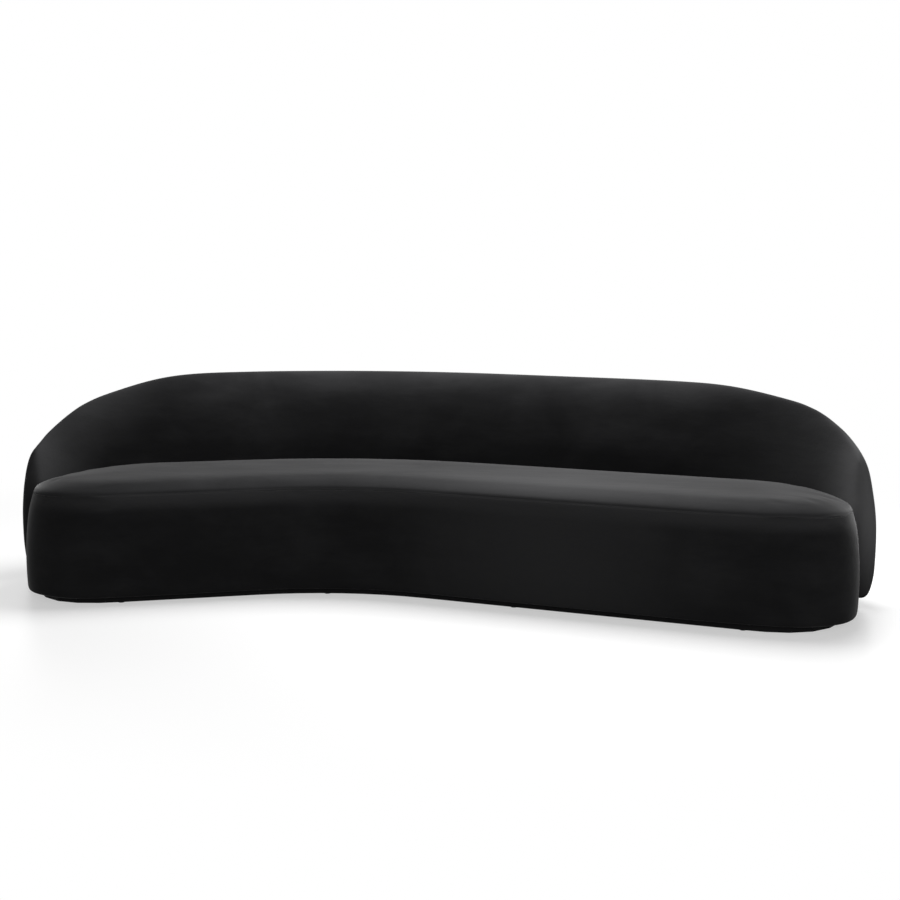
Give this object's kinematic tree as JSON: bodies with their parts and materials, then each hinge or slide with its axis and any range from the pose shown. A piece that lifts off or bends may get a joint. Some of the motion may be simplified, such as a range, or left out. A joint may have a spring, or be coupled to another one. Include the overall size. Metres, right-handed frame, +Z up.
{
  "type": "curved sofa",
  "caption": "Low curved sofa with a boomerang seat block and a thick one-piece back that wraps round it and falls away to an arm at each end, in plain velvet.",
  "frame": {"origin": "middle of the sofa's bounding box in plan, on the floor under the glides", "axes": "+X along the length towards the long wing, +Y to the rear, +Z up; the seat faces -Y"},
  "size_m": [3.1434, 1.2258, 0.745],
  "materials": {
    "velvet": "black cut-pile velvet, dark face on and paler at a grazing angle",
    "foam": "open-cell upholstery foam",
    "plywood": "bare birch plywood",
    "beech": "planed beech",
    "webbing": "woven elastic webbing",
    "felt": "thin black dust cloth",
    "lacquer": "wooden plinth, satin black lacquer",
    "steel": "zinc-plated steel",
    "plastic": "black moulded plastic"
  },
  "bodies": {
    "root": {"seat_top_cover": "velvet", "seat_side_cover": "velvet", "back_inside_cover": "velvet", "back_outside_cover": "velvet", "seat_foam": "foam", "seat_side_padding": "foam", "back_foam_1": "foam", "back_foam_2": "foam", "back_foam_3": "foam", "back_foam_4": "foam", "short_arm_core": "foam", "long_arm_core": "foam", "seat_bottom_board": "plywood", "seat_deck": "plywood", "seat_front_rail": "plywood", "seat_rear_rail": "plywood", "seat_short_end_rail": "plywood", "seat_long_end_rail": "plywood", "seat_rib_1": "plywood", "seat_rib_2": "plywood", "seat_rib_3": "plywood", "seat_rib_4": "plywood", "seat_rib_5": "plywood", "back_inside_panel": "plywood", "back_outside_panel": "plywood", "back_bottom_board": "plywood", "back_rib_1": "plywood", "back_rib_2": "plywood", "back_rib_3": "plywood", "back_rib_4": "plywood", "back_rib_5": "plywood", "back_rib_6": "plywood", "back_rib_7": "plywood", "back_rib_8": "plywood", "back_top_rail": "beech", "webbing_strap_1": "webbing", "webbing_strap_2": "webbing", "webbing_strap_3": "webbing", "webbing_strap_4": "webbing", "webbing_strap_5": "webbing", "seat_dust_sheet": "felt", "back_dust_sheet": "felt", "seat_glide_1": "plastic", "seat_glide_2": "plastic", "seat_glide_3": "plastic", "seat_glide_4": "plastic", "seat_glide_5": "plastic", "seat_glide_6": "plastic", "seat_glide_7": "plastic", "seat_glide_8": "plastic", "back_glide_1": "plastic", "back_glide_2": "plastic", "back_glide_3": "plastic", "back_glide_4": "plastic", "back_glide_5": "plastic", "seat_plinth": "lacquer", "back_plinth": "lacquer", "joining_plate_1": "steel", "joining_plate_2": "steel", "joining_plate_3": "steel"}
  },
  "joints": []
}
